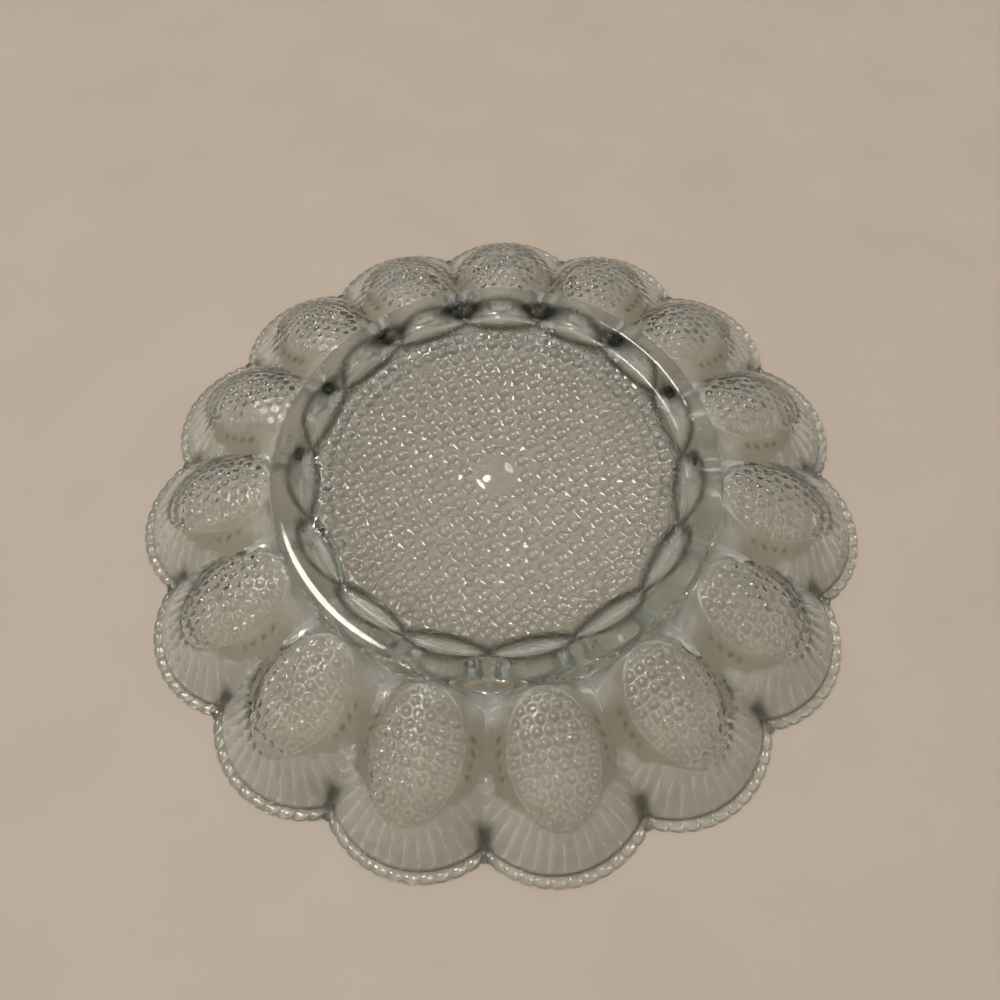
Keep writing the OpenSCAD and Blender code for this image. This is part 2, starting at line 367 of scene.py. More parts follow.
def top_height(u, v, form, pattern):
    """Upper face of a sector, the side that is the underside in use."""
    reach, turn, _ = sector_place(u, v)
    foot = np.interp(reach, [p[0] for p in FOOT_SECTION], [p[1] for p in FOOT_SECTION])
    own = well_body(u, v, form, pattern)
    other = 2 * HALF - turn
    beside = well_body(reach * np.cos(other), reach * np.sin(other), form, pattern)
    z = smooth_max(own, beside, form["valley"])
    return np.where(reach < WELL_START, foot, smooth_max(z, foot, FOOT_FILLET))


def lens_width(u, v, width):
    """Width of a scallop's lens, from that at the notch line to that on the well's axis."""
    turn = np.abs(np.arctan2(v, u)) / HALF
    return width[0] + width[1] * np.clip(1 - turn**2, 0, 1)


def chain_place(u, v):
    """How far a point lies outward of the gallery's scallops, and how wide the lens is there."""
    return SCALLOP_ARC - np.hypot(u - GALLERY_C, v), lens_width(u, v, CHAIN_WIDTH)


def chain_painted_shade(u, v):
    """Share of painted shade along the outline of each lens of the scalloped chain."""
    out, span = chain_place(u, v)
    return PAINTED_SHADE["chain"] * fade(0.4, 1.7, np.minimum(np.abs(out), np.abs(out - span)))


def chain_features():
    """Points along the outlines of the lenses, for half a sector."""
    points = []
    for turn in np.linspace(0, HALF, 11):
        way = direction(turn)
        reach = GALLERY_C * way[0] - math.sqrt(SCALLOP_ARC**2 - (GALLERY_C * way[1]) ** 2)
        span = CHAIN_WIDTH[0] + CHAIN_WIDTH[1] * (1 - (turn / HALF) ** 2)
        points += [tuple(way * (reach + far)) for far in (0.0, -0.7, 0.7, span - 0.8, span, span + 0.8)]
    return points


def crest_share(u, v):
    """Distance from the middle of the gallery wall as a share of the width of its crest there."""
    return np.abs(np.hypot(u - GALLERY_C, v) - WALL_MIDDLE) / lens_width(u, v, CREST_WIDTH)


def side_spots(u, v):
    """Marks on a well's steep sides: painted shade, a dark spot for each side flute."""
    phi, r = well_place(u, v)
    along = np.abs(2 * (phi / SIDE_STEP - np.round(phi / SIDE_STEP)))
    spots = band(1.4, 2.4, 3.0, 4.0, r - crease_line(u, v))
    return spots * band(74, 80, 118, 124, phi) * fade(0.4, 0.9, along)


def top_haze_and_highlight(u, v, pattern):
    """Share of whitening on the upper face: painted highlights between and on the hobnails, on the flutes,
    along the crease, in the lenses and on the saddles by the notch, with added roughness.
    """
    share = oval_share(u, v)
    near, after = pattern.nearest(u, v)
    between = HAZE_AND_HIGHLIGHT["between"] * fade(0.0, 0.8, after - near)
    hobnail = HAZE_AND_HIGHLIGHT["hobnail"] * fade(0.2, 0.9, near)
    across, risen = flute_place(u, v)
    flutes = risen * (HAZE_AND_HIGHLIGHT["flute"] + 0.4 * np.abs(2 * across) ** 3)
    end = smoothstep(2.1, 2.9, np.radians(well_place(u, v)[0]))
    crease = HAZE_AND_HIGHLIGHT["crease"] + (1 - HAZE_AND_HIGHLIGHT["crease"]) * end
    crease = crease * fade(0.0, GROOVE_SHARE * (1 + end), np.abs(share - 1.0))
    well = np.maximum(np.where(share < 1.0, HAZE_AND_HIGHLIGHT["dome"] + np.maximum(between, hobnail), flutes), crease)
    out, span = chain_place(u, v)
    lens = HAZE_AND_HIGHLIGHT["lens"] * smoothstep(0.8, 3.0, np.minimum(out, span - out))
    reach, _, side = sector_place(u, v)
    saddle = HAZE_AND_HIGHLIGHT["saddle"] * band(79, 83, 86, 96, reach) * fade(3, 9, side)
    return np.maximum(saddle, np.where(reach < 83, lens, well))


def top_painted_shade(u, v):
    """Share of painted shade on the upper face: at the ends of the valleys by the notch, in spots on the
    steep sides and along the scalloped chain.
    """
    reach, _, side = sector_place(u, v)
    notch = PAINTED_SHADE["notch"] * smoothstep(117.5, 121.5, reach) * fade(1.0, 4.2, side)
    chain = np.where(reach < 80, chain_painted_shade(u, v), 0.0)
    return np.maximum(np.maximum(notch, PAINTED_SHADE["side"] * side_spots(u, v)), chain)


def base_painted_shade(u, v):
    """Share of painted shade on the lower face, in a band along the gallery wall."""
    return PAINTED_SHADE["wall"] * band(0.3, 0.6, 1.6, 2.0, crest_share(u, v))


def base_haze_and_highlight(u, v):
    """Share of whitening on the lower face: a painted highlight on the wall's crest and, under the foot ring,
    a band of painted light with added roughness.
    """
    reach, turn, _ = sector_place(u, v)
    across = crest_share(u, v)
    crest = fade(0.2, 0.6, across) * fade(0.5, 0.8, turn / HALF)
    under = smoothstep(1.9, 2.4, across) * (reach > 66) * fade(84, 90, reach)
    return np.maximum(crest, HAZE_AND_HIGHLIGHT["under"] * under)


def dish_face(reach):
    """Upper face of the dished floor, the underside in use, without its hobnails."""
    share = np.clip((reach**2 - FLAT_SQUARED) / (FIELD**2 - FLAT_SQUARED), 0, 1)
    field = FLOOR_Z + FLOOR_SAG * share
    return field + (FLOOR_EDGE_Z - field) * smoothstep(FIELD, FIELD + 0.6, reach)


def well_space(u, v, form):
    """Height of the hollow of a well and its neighbour over the table."""
    wall = form["wall"]
    reach, turn, _ = sector_place(u, v)

    def hollow(a):
        x, y = reach * np.cos(a), reach * np.sin(a)
        return smooth_max(egg_height(x, y, -wall), skirt_height(np.hypot(x - WELL_R, y), -wall), 1.0)

    return smooth_max(hollow(turn), hollow(2 * HALF - turn), 0.8)


def base_height(u, v, form):
    """Lower face of a sector: the well, the ridges, the gallery wall and the dish."""
    reach, _, side = sector_place(u, v)
    ridge = RIDGE_Z + RIDGE_SWELL * (1 - np.exp(-side**2 / RIDGE_SPREAD))
    ridge = ridge * fade(WELL_R - 2, WELL_R + 2, reach)
    near, far = RIDGE_FILLET
    z = smooth_max(well_space(u, v, form), ridge, near - (near - far) * smoothstep(86, 94, reach))
    gallery = np.hypot(u - GALLERY_C, v)
    crest = RIDGE_Z + WALL_CURVE * np.clip(np.abs(gallery - WALL_MIDDLE) - WALL_FLAT, 0, 9) ** 2
    floor = dish_face(reach) - form["wall"]
    inward, outward = smooth_min(crest, floor, 1.0), smooth_min(z, crest, WALL_FILLET)
    return np.where(gallery > WALL_MIDDLE, inward, outward)


# Mesh building


def sift(points, kept, gap):
    """Those of the points that are at least gap from the kept ones and from each other."""
    out = []
    grid = {}

    def cell(p):
        return int(math.floor(p[0] / gap)), int(math.floor(p[1] / gap))

    for p in kept:
        grid.setdefault(cell(p), []).append(p)
    for p in points:
        i, j = cell(p)
        near = (q for a in (-1, 0, 1) for b in (-1, 0, 1) for q in grid.get((i + a, j + b), ()))
        if all((p[0] - q[0]) ** 2 + (p[1] - q[1]) ** 2 >= gap * gap for q in near):
            out.append(p)
            grid.setdefault((i, j), []).append(p)
    return out


def triangles_in(points, loop_size):
    """Triangles over the points, inside the loop made by the first loop_size of them."""
    verts = [Vector(p) for p in points]
    edges = [(i, (i + 1) % loop_size) for i in range(loop_size)]
    made = delaunay_2d_cdt(verts, edges, [], 1, 1e-7)
    first = [ids[0] if ids else -1 for ids in made[3]]
    if min(first) < 0:
        raise RuntimeError("the triangulation split an edge of its outline")
    faces = [[first[i] for i in f] for f in made[2]]
    return [f for f in faces if len(set(f)) == 3]


def upward(points, faces):
    """The faces turned so that all of them run anticlockwise in plan."""
    p = np.array(points)
    out = []
    for a, b, c in faces:
        e, f = p[b] - p[a], p[c] - p[a]
        area = e[0] * f[1] - e[1] * f[0]
        if abs(area) > 1e-10:
            out.append((a, b, c) if area > 0 else (a, c, b))
    return out


def half_sector(low_r, step, features, outer, fill_gap):
    """Triangulates half a sector between its axis, the outer line, the notch line and an inner arc.
    Features near an edge are moved onto it, so that mirrored and turned copies meet."""
    arc = ring_points(low_r, step)
    axis, notch, inside = [], [], []
    for p in features:
        p = np.array(p, float)
        reach, side = float(np.dot(p, NOTCH_WAY)), float(np.dot(p, NOTCH_SIDE))
        if p[1] < -1e-6 or side > 1e-6 or np.hypot(*p) < low_r + 0.2:
            continue
        if p[1] < POINT_GAP:
            axis.append(p[0])
        elif side > -POINT_GAP:
            notch.append(reach)
        else:
            inside.append((p[0], p[1]))

    def thin(values, high):
        out = [low_r]
        for x in sorted(values):
            if x - out[-1] >= POINT_GAP and high - x >= POINT_GAP:
                out.append(x)
        return out[1:]

    axis = thin(axis, outer[0][0])
    notch = thin(notch, float(np.dot(outer[-1], NOTCH_WAY)))
    loop = [tuple(arc[0])] + [(x, 0.0) for x in axis] + [tuple(p) for p in outer]
    loop += [tuple(NOTCH_WAY * x) for x in reversed(notch)] + [tuple(p) for p in reversed(arc[1:])]
    inside = sift([p for p in inside if in_outline(p, outer)], loop, POINT_GAP)
    spots = []
    y = fill_gap * ROW_SHARE / 2
    row = 0
    while y < TIP * math.sin(HALF):
        x = low_r + (fill_gap / 2 if row % 2 else 0.0)
        while x < TIP:
            clear = np.dot((x, y), NOTCH_SIDE) < -0.5 and np.hypot(x, y) > low_r + 0.8
            if clear and in_outline((x, y), outer):
                spots.append((x, y))
            x += fill_gap
        y += fill_gap * ROW_SHARE
        row += 1
    inside += sift(spots, loop + inside, fill_gap * 0.72)
    points = loop + inside
    return points, upward(points, triangles_in(points, len(loop)))


def in_outline(p, outer):
    """True if a point is well inside an outer line, which is seen from the well's middle."""
    phi = math.atan2(p[1], p[0] - WELL_R)
    turns = [math.atan2(q[1], q[0] - WELL_R) for q in outer]
    if phi >= turns[-1]:
        return True
    reach = [math.hypot(q[0] - WELL_R, q[1]) for q in outer]
    return math.hypot(p[0] - WELL_R, p[1]) < np.interp(phi, turns, reach) - 0.25


def rim_columns():
    """The rim's columns: angle about the scallop's middle, depth of the division there, and share
    of the way from the last bead to the notch."""
    columns = []
    for i in range(0, (BEADS + 1) // 2):
        for t in BEAD_SHARES:
            if i + t >= 0:
                columns.append((math.radians((i + t) * BEAD_STEP), abs(2 * t) ** 6, 0.0))
    last = math.radians(BEADS / 2 * BEAD_STEP)
    columns.append((last, 1.0, 0.0))
    for s in (0.15, 0.4, 0.7, 1.0):
        columns.append((last + s * (RIM_END - last), max(0.0, 1 - 4 * s), s))
    return columns


# Section through the rim from its lower edge inward: inset from the scallop's line, height,
# and share of the rim's width that is added to the inset
RIM_SECTION = (
    (0.6, 0.0, 0.0), (0.18, 0.16, 0.0), (0.0, 0.55, 0.0), (0.03, 1.1, 0.0), (0.3, 1.65, 0.0),
    (0.85, 2.1, 0.0), (0.0, 2.38, 0.42), (0.0, 2.3, 0.68), (-0.75, 1.95, 1.0), (-0.3, 1.35, 1.0),
)


def rim_strip(form, pattern):
    """The beaded rim of half a sector as rows from its lower edge to the foot of the skirt."""
    rows = [[] for _ in range(len(RIM_SECTION) + 1)]
    for psi, groove, notch in rim_columns():
        outer = np.array((SCALLOP_C + SCALLOP_R * math.cos(psi), SCALLOP_R * math.sin(psi)))
        phi = psi * FAN
        inner = np.array((WELL_R + ROOT * math.cos(phi), ROOT * math.sin(phi)))
        if notch:
            outer = outer + 0.6 * notch**2 * NOTCH_WAY
        if notch == 1.0:
            outer = np.hypot(*outer) * NOTCH_WAY
            inner = LEDGE_NOTCH * NOTCH_WAY
        if psi == 0:
            outer[1] = inner[1] = 0.0
        width = float(np.hypot(*(inner - outer)))
        way = (inner - outer) / width
        depth = form["bead_depth"] * groove
        for row, (inset, z, share) in enumerate(RIM_SECTION):
            d = share * width + inset
            d += depth * (1 - d / width) * 0.9
            p = outer + way * d
            rows[row].append((p[0], p[1], max(0.0, z - depth * min(1.0, z / 1.2))))
        z = float(top_height(np.array([inner[0]]), np.array([inner[1]]), form, pattern)[0])
        rows[-1].append((inner[0], inner[1], z))
    return rows


def rim_marks(rows):
    """Whitening and painted shade on the rim's rows: painted glints between the beads, painted shade at both
    edges with a painted contact shadow along the lower one, and by the notch.
    """
    haze_and_highlight, painted_shade = [], []
    columns = rim_columns()
    notch = (0.0,) * (len(columns) - len(NOTCH_PAINTED_SHADE)) + NOTCH_PAINTED_SHADE
    for i in range(rows):
        low, high = i < 2, i >= rows - 2
        edge = PAINTED_SHADE["rim_foot"] if high else PAINTED_SHADE["rim_edge"] if low else 0.0
        haze_and_highlight += [0.0 if low or high else HAZE_AND_HIGHLIGHT["bead"] + (1 - HAZE_AND_HIGHLIGHT["bead"]) * c[1] for c in columns]
        painted_shade += [max(edge, shade) for shade in notch]
    return haze_and_highlight, painted_shade


def ring_points(reach, step):
    turns = np.radians(np.arange(0, SECTOR / 2 + 1e-6, step))
    return [(reach * math.cos(a), reach * math.sin(a)) for a in turns]


def crease_reach(way):
    """Distance from the well's middle to the oval crease in a direction."""
    return 1 / math.hypot(way[0] / PLAN_HALF, way[1] / (WELL_WIDTH / 2))


def hobnail_features(pattern):
    """Middle, shoulder, edge and corners of each hobnail of a well."""
    places = pattern.places
    made = delaunay_2d_cdt([Vector(p) for p in places], [], [], 0, 1e-7)
    corners, mids = [], []
    for f in made[2]:
        a, b, c = (places[made[3][i][0]] for i in f)
        m = np.array((b - a, c - a)) * 2
        rhs = np.array((np.dot(b, b) - np.dot(a, a), np.dot(c, c) - np.dot(a, a)))
        if abs(np.linalg.det(m)) > 1e-6:
            corners.append(np.linalg.solve(m, rhs))
        for p, q in ((a, b), (b, c), (c, a)):
            if np.hypot(*(p - q)) < pattern.half * 2.6:
                mids.append((p + q) / 2)
    inner = []
    for k, p in enumerate(places):
        rest = np.delete(places, k, 0) - p
        for j in range(10):
            e = direction(j * math.pi / 5)
            dot = rest @ e
            edge = min(((rest**2).sum(1) / 2)[dot > 1e-6] / dot[dot > 1e-6], default=9.0)
            edge = min(edge, pattern.half)
            inner += [p + e * edge * share for share in ((0.92, 0.7) if j % 2 else (0.92, 0.7, 0.38))]
    hobs = pattern.plan(np.array([*places, *corners, *mids, *inner]))
    return [tuple(p) for p in hobs[oval_share(hobs[:, 0], hobs[:, 1]) < 0.975]]


def flute_features():
    """Points along the flutes of half a skirt, out to its foot or to the notch line."""
    points = []
    step = math.radians(BEAD_STEP * FAN)
    for phi in ((i + t) * step for i in range(10) for t in BEAD_SHARES):
        if phi < 0 or phi > math.radians(86):
            continue
        way = direction(phi)
        edge = crease_reach(way) * 1.035
        side = np.dot(way, NOTCH_SIDE)
        end = ROOT - 0.6
        if side > 0:
            meet = -np.dot(WELL_MIDDLE, NOTCH_SIDE) / side
            if meet < end:
                points.append(tuple(WELL_MIDDLE + way * (meet - 1e-9)))
                end = meet - 0.5
        r = edge + 0.8
        while r < end:
            points.append(tuple(WELL_MIDDLE + way * r))
            r += 1.2 if r < edge + 2 else 2.3
        points.append(tuple(WELL_MIDDLE + way * end))
    return points


def notch_features(sides, reaches):
    """Points along the notch line and beside it."""
    return [tuple(NOTCH_WAY * reach + NOTCH_SIDE * side) for side in sides for reach in reaches]


def top_features(pattern):
    """Points that the upper face of half a sector needs, most important first: the chain, the foot ring,
    the crease, the hobnails, the spots on the steep sides, the valley and the flutes."""
    points = [p for p in chain_features() if np.hypot(*p) > TOP_JOIN + 0.3]
    for reach, _ in FOOT_SECTION:
        if TOP_JOIN < reach < 83.5:
            points += ring_points(reach, 1.5)
    for share in (1.0, 0.98, 1.035):
        for a in np.radians(np.arange(0, 181, 4.0)):
            points.append((WELL_R + share * PLAN_HALF * math.cos(a), share * WELL_WIDTH / 2 * math.sin(a)))
    points += hobnail_features(pattern)
    for phi in np.radians(np.arange(6, 9.6, 0.5) * SIDE_STEP):
        way = direction(phi)
        points += [tuple(WELL_MIDDLE + way * (crease_reach(way) + out)) for out in (1.4, 2.7, 4.0)]
    points += notch_features((0.0, -0.7, -1.5), np.arange(84.5, LEDGE_NOTCH, 1.3))
    return points + flute_features()


def base_features():
    """Points that the lower face of half a sector needs."""
    points = []
    for offset in (0.0, -0.7, 0.7, -1.3, 1.3, -1.9, 1.9, -2.4, 2.4, -2.8, 2.8, -3.2, 3.2, 3.6):
        for a in np.linspace(math.pi, math.pi * 0.86, 32):
            reach = WALL_MIDDLE + offset
            points.append((GALLERY_C + reach * math.cos(a), reach * math.sin(a)))
    for r in (30.6, 30.0, 29.4, 28.4, 26.6, 24.2, 21.5, 18.6, 15.5, 12.0, 8.0, 4.0):
        for a in np.linspace(0, math.pi, 43 if r > 20 else 23):
            points.append((WELL_R + r * math.cos(a), r * math.sin(a)))
    return points + notch_features((0.0, -0.8, -1.8), np.arange(74, 128, 1.6))


def hobnail_rings(form):
    """Places and half widths of the dish's hobnails."""
    out = []
    for share, count, turn in zip(RING_SHARES, RING_COUNTS, RING_TURNS):
        width = form["dish_hobnail"] + (form["dish_hobnail_edge"] - form["dish_hobnail"]) * share**4
        for j in range(1, count + 1):
            a = math.radians(turn + j * 360 / count)
            out.append((HOB_FIELD * share * math.cos(a), HOB_FIELD * share * math.sin(a), width / 2))
    return out


def circle(reach, count, turn=0.0):
    a = np.arange(count) * 2 * math.pi / count + turn
    return [(reach * math.cos(x), reach * math.sin(x)) for x in a]


def sector_mesh(form, pattern):
    """Vertices, faces and the painted highlight and shade marks of one whole sector, open at its two sides
    and towards the dish.
    """
    verts, faces, marks = [], [], []

    def add(points, heights, tris, flip, haze_and_highlight, painted_shade):
        for mirror in (1, -1):
            start = len(verts)
            verts.extend((p[0], mirror * p[1], z) for p, z in zip(points, heights))
            marks.extend(zip(haze_and_highlight, painted_shade))
            for f in tris:
                turned = f[::-1] if (flip != (mirror < 0)) else f
                faces.append(tuple(start + i for i in turned))

    rows = rim_strip(form, pattern)
    top, tris = half_sector(TOP_JOIN, 1.0, top_features(pattern), [p[:2] for p in rows[-1]], TOP_FILL)
    u, v = np.array(top).T
    add(top, top_height(u, v, form, pattern), tris, False, top_haze_and_highlight(u, v, pattern), top_painted_shade(u, v))
    base, tris = half_sector(BASE_JOIN, 2.0, base_features(), [p[:2] for p in rows[0]], BASE_FILL)
    u, v = np.array(base).T
    edge = {tuple(np.round(q[:2], 6)) for q in rows[0]}
    z = [0.0 if tuple(np.round(q, 6)) in edge else h for q, h in zip(base, base_height(u, v, form))]
    add(base, z, tris, True, base_haze_and_highlight(u, v), base_painted_shade(u, v))
    strip = [q for row in rows for q in row]
    count = len(rows[0])
    corners = [i * count + j for i in range(len(rows) - 1) for j in range(count - 1)]
    quads = [(a, a + 1, a + 1 + count, a + count) for a in corners]
    add([q[:2] for q in strip], [q[2] for q in strip], quads, False, *rim_marks(len(rows)))
    return np.array(verts) * MM, faces, np.array(marks)


def dish_points(hobs):
    """Points that the dish's upper face needs, most important first: the hobnails, the boss, the chain,
    the edge of the field and the filling."""
    points = []
    for x, y, half in hobs:
        points.append((x, y))
        turn = math.atan2(y, x)
        for share, count in ((1.0, 12), (0.86, 12), (0.5, 6), (1.16, 9)):
            start = turn + (math.pi / count if share == 0.86 else 0)
            points += [(x + px, y + py) for px, py in circle(half * share, count, start)]
    for share, count in ((1.0, 40), (0.96, 40), (0.8, 24), (0.55, 16), (0.28, 8), (1.06, 40)):
        points += circle(BOSS_D / 2 * share, count)
    points.append((0.0, 0.0))
    for x, y in chain_features():
        for turn in np.radians(np.arange(SECTOR / 2, 360, SECTOR)):
            if math.hypot(x, y) < TOP_JOIN - 0.3:
                points += [(x * math.cos(turn) - w * math.sin(turn), x * math.sin(turn) + w * math.cos(turn))
                           for w in (y, -y)]
    for reach, count in ((FIELD, 180), (FIELD + 0.6, 180), (66.2, 120)):
        points += circle(reach, count)
    return points + [q for r in np.arange(9.5, 64, 2.9) for q in circle(r, int(r * 2.0))]


def dish_top(form):
    """Points, triangles, heights and the painted highlight and shade marks of the dish's upper face."""
    hobs = hobnail_rings(form)
    rim = circle(TOP_JOIN, 360)
    points = rim + sift(dish_points(hobs), rim, DISH_GAP)
    tris = upward(points, triangles_in(points, len(rim)))
    p = np.array(points)
    reach = np.hypot(p[:, 0], p[:, 1])
    boss = BOSS_D / 2
    z = dish_face(reach) + cap_relief(reach, boss, BOSS_RISE)
    # Painted highlight on the boss and a fading one round its edge
    haze_and_highlight = np.where(reach < boss, HAZE_AND_HIGHLIGHT["boss"], HAZE_AND_HIGHLIGHT["boss_edge"] * fade(0.1, 0.5, reach - boss))
    painted_shade = np.zeros(len(p))
    for x, y, half in hobs:
        near = np.abs(p - (x, y)).max(1) < half * 1.25
        d = np.hypot(p[near, 0] - x, p[near, 1] - y)
        z[near] += cap_relief(d, half, form["dish_hobnail_rise"])
        # Painted highlight in each hobnail's middle and in a ring, and painted shade round its outline
        ring = np.interp(d / half, (0.0, 0.5, 0.7, 0.86, 1.0, 1.14), (0.9, 0.2, 0.2, 0.4, 0.15, 0.0))
        haze_and_highlight[near] = np.maximum(haze_and_highlight[near], ring)
        shade = np.interp(d / half, (0.5, 0.86, 1.0, 1.14), (0.0, 0.3, 0.35, 0.0))
        painted_shade[near] = np.maximum(painted_shade[near], shade)
    # Painted light over the whole hobnailed field
    haze_and_highlight = np.where(reach < FIELD, np.maximum(haze_and_highlight, HAZE_AND_HIGHLIGHT["dish"]), haze_and_highlight)
    # Painted shade of the scalloped chain where it reaches into the dish
    local = np.arctan2(p[:, 1], p[:, 0]) % math.radians(SECTOR) - HALF
    chain = chain_painted_shade(reach * np.cos(local), reach * np.sin(local))
    painted_shade = np.where(reach > FIELD - 1, np.maximum(painted_shade, chain), painted_shade)
    return points, tris, z, list(zip(haze_and_highlight, painted_shade))


def dish_mesh(form):
    """Vertices, faces and the painted highlight and shade marks of the dish inside the sectors: hobnailed
    above, plain below.
    """
    points, faces, z, marks = dish_top(form)
    verts = [(a[0], a[1], h) for a, h in zip(points, z)]
    rim = circle(BASE_JOIN, 180)
    rings = ((60, 120), (54, 90), (46, 72), (38, 60), (30, 48), (22, 36), (14, 24), (6, 12))
    points = rim + [q for r, count in rings for q in circle(r, count)] + [(0.0, 0.0)]
    tris = upward(points, triangles_in(points, len(rim)))
    p = np.array(points)
    z = dish_face(np.hypot(p[:, 0], p[:, 1])) - form["wall"]
    start = len(verts)
    verts += [(a[0], a[1], h) for a, h in zip(points, z)]
    faces += [tuple(start + i for i in f[::-1]) for f in tris]
    marks += [(0.0, 0.0)] * len(points)
    return np.array(verts) * MM, faces, np.array(marks)


def mesh_object(name, verts, faces, marks=None):
    """A new object in the scene from vertices and faces, with its painted highlight and shade marks where it
    has them.
    """
    mesh = bpy.data.meshes.new(name)
    mesh.from_pydata([tuple(v) for v in verts], [], faces)
    mesh.update()
    if marks is not None:
        for column, key in enumerate(("haze_and_highlight", "painted_shade")):
            layer = mesh.attributes.new(key, "FLOAT", "POINT")
            layer.data.foreach_set("value", marks[:, column].astype(np.float32))
    obj = bpy.data.objects.new(name, mesh)
    bpy.context.scene.collection.objects.link(obj)
    return obj


# Materials


def linear(hex_colour):
    """Linear RGBA from an sRGB hex colour."""
    parts = [int(hex_colour[i:i + 2], 16) / 255 for i in (1, 3, 5)]
    return tuple(c / 12.92 if c <= 0.04045 else ((c + 0.055) / 1.055) ** 2.4 for c in parts) + (1.0,)


def opaque(rgb):
    return tuple(rgb) + (1.0,)


def add_node(tree, kind, place, settings=None, values=None, links=None):
    """Adds a node, sets its settings and socket values, and links sockets to other nodes' outputs."""
    node = tree.nodes.new(kind)
    node.location = place
    for key, value in (settings or {}).items():
        setattr(node, key, value)
    for key, value in (values or {}).items():
        node.inputs[key].default_value = value
    for key, source in (links or {}).items():
        tree.links.new(source, node.inputs[key])
    return node


def new_material(name):
    material = bpy.data.materials.new(name)
    material.use_nodes = True
    material.node_tree.nodes.clear()
    return material


def glass_material(props):
    """Clear glass pressed in an iron mould and fire polished: the flame leaves a soft waviness on every face
    and the mould a little haze. A whitening mark paints highlights between hobnails and flutes and adds
    roughness there, a dark mark paints shade along walls, valleys and edges, and the thick parts carry the
    grey-green of the glass itself."""
    material = new_material("pressed_glass_fire_polished")
    tree = material.node_tree
    place = add_node(tree, "ShaderNodeTexCoord", (-900, 0)).outputs["Object"]
    wave = add_node(tree, "ShaderNodeTexNoise", (-650, -200), values={
        "Scale": 1 / props.wave_size, "Detail": 1.5, "Roughness": 0.45}, links={"Vector": place})
    haze = add_node(tree, "ShaderNodeTexNoise", (-650, 150), values={
        "Scale": 1 / props.haze_size, "Detail": 3.0, "Roughness": 0.6}, links={"Vector": place})
    rough = add_node(tree, "ShaderNodeMapRange", (-400, 150), values={
        "From Min": 0.35, "From Max": 0.7, "To Min": props.roughness * 0.3, "To Max": props.roughness * 1.6},
        links={"Value": haze.outputs["Fac"]})
    patch = add_node(tree, "ShaderNodeMapRange", (-650, 250), values={
        "From Min": 0.35, "From Max": 0.6, "To Min": 0.7}, links={"Value": haze.outputs["Fac"]})
    # The two marks on the mesh: a whitening that paints highlights, and a dark tint that paints shade
    haze_and_highlight, painted_shade = (add_node(tree, "ShaderNodeAttribute", (-650, y), {"attribute_name": key}).outputs["Fac"]
                   for key, y in (("haze_and_highlight", 450), ("painted_shade", 650)))
    haze_and_highlight = add_node(tree, "ShaderNodeMath", (-450, 350), {"operation": "MULTIPLY"},
                     links={0: haze_and_highlight, 1: patch.outputs["Result"]}).outputs[0]
    bloom = add_node(tree, "ShaderNodeMath", (-250, 250), {"operation": "MULTIPLY_ADD"},
                     {1: props.frost_roughness}, {0: haze_and_highlight, 2: rough.outputs["Result"]})
    # Where the whitening lies less light passes and the white base shows: a painted highlight
    clear = add_node(tree, "ShaderNodeMapRange", (-400, 450), values={
        "To Min": 1.0, "To Max": 1 - props.haze_and_highlight}, links={"Value": haze_and_highlight})
    # Painted shade: the dark colour tints the glass where its mark lies
    tint = add_node(tree, "ShaderNodeMix", (-400, 700), {"data_type": "RGBA"},
                    {MIX_A: linear("#FDFEF9"), MIX_B: opaque(props.painted_shade_colour)}, {"Factor": painted_shade})
    bump = add_node(tree, "ShaderNodeBump", (-400, -200), values={
        "Strength": props.wave_strength, "Distance": props.wave_depth}, links={"Height": wave.outputs["Fac"]})
    shader = add_node(tree, "ShaderNodeBsdfPrincipled", (-100, 0), values={"IOR": props.ior}, links={
        "Base Color": tint.outputs[MIX_OUT], "Roughness": bloom.outputs[0],
        "Normal": bump.outputs["Normal"], "Transmission Weight": clear.outputs["Result"]})
    volume = add_node(tree, "ShaderNodeVolumeAbsorption", (-100, -450), values={
        "Color": opaque(props.body_colour), "Density": props.body_density})
    add_node(tree, "ShaderNodeOutputMaterial", (250, 0), links={
        "Surface": shader.outputs["BSDF"], "Volume": volume.outputs["Volume"]})
    return material


def table_material(props):
    """A plain pale table top: painted board with a faint cloudiness and a soft sheen."""
    material = new_material("painted_board_matt")
    tree = material.node_tree
    place = add_node(tree, "ShaderNodeTexCoord", (-900, 0)).outputs["Object"]
    cloud = add_node(tree, "ShaderNodeTexNoise", (-650, 0), values={
        "Scale": 1 / props.cloud_size, "Detail": 4.0, "Roughness": 0.55}, links={"Vector": place})
    blend = add_node(tree, "ShaderNodeMix", (-400, 0), {"data_type": "RGBA"},
                     {MIX_A: opaque(props.floor_dark), MIX_B: opaque(props.floor_light)},
                     {"Factor": cloud.outputs["Fac"]})
    shader = add_node(tree, "ShaderNodeBsdfPrincipled", (-100, 0), values={"Roughness": 0.65},
                      links={"Base Color": blend.outputs[MIX_OUT]})
    add_node(tree, "ShaderNodeOutputMaterial", (250, 0), links={"Surface": shader.outputs["BSDF"]})
    return material


# Properties


def length(name, description, default):
    """A property for a length in metres."""
    return bpy.props.FloatProperty(name=name, description=description, default=default, unit="LENGTH")


def factor(name, description, default):
    """A property for a share of the whole."""
    return bpy.props.FloatProperty(name=name, description=description, default=default, subtype="FACTOR")


def angle(name, description, default):
    """A property for an angle in radians."""
    return bpy.props.FloatProperty(name=name, description=description, default=default, subtype="ANGLE")


def colour(name, description, hex_colour):
    """A property for a colour, given as its sRGB hex value."""
    return bpy.props.FloatVectorProperty(name=name, description=description, subtype="COLOR",
                                         default=linear(hex_colour)[:3], size=3, min=0, max=1)


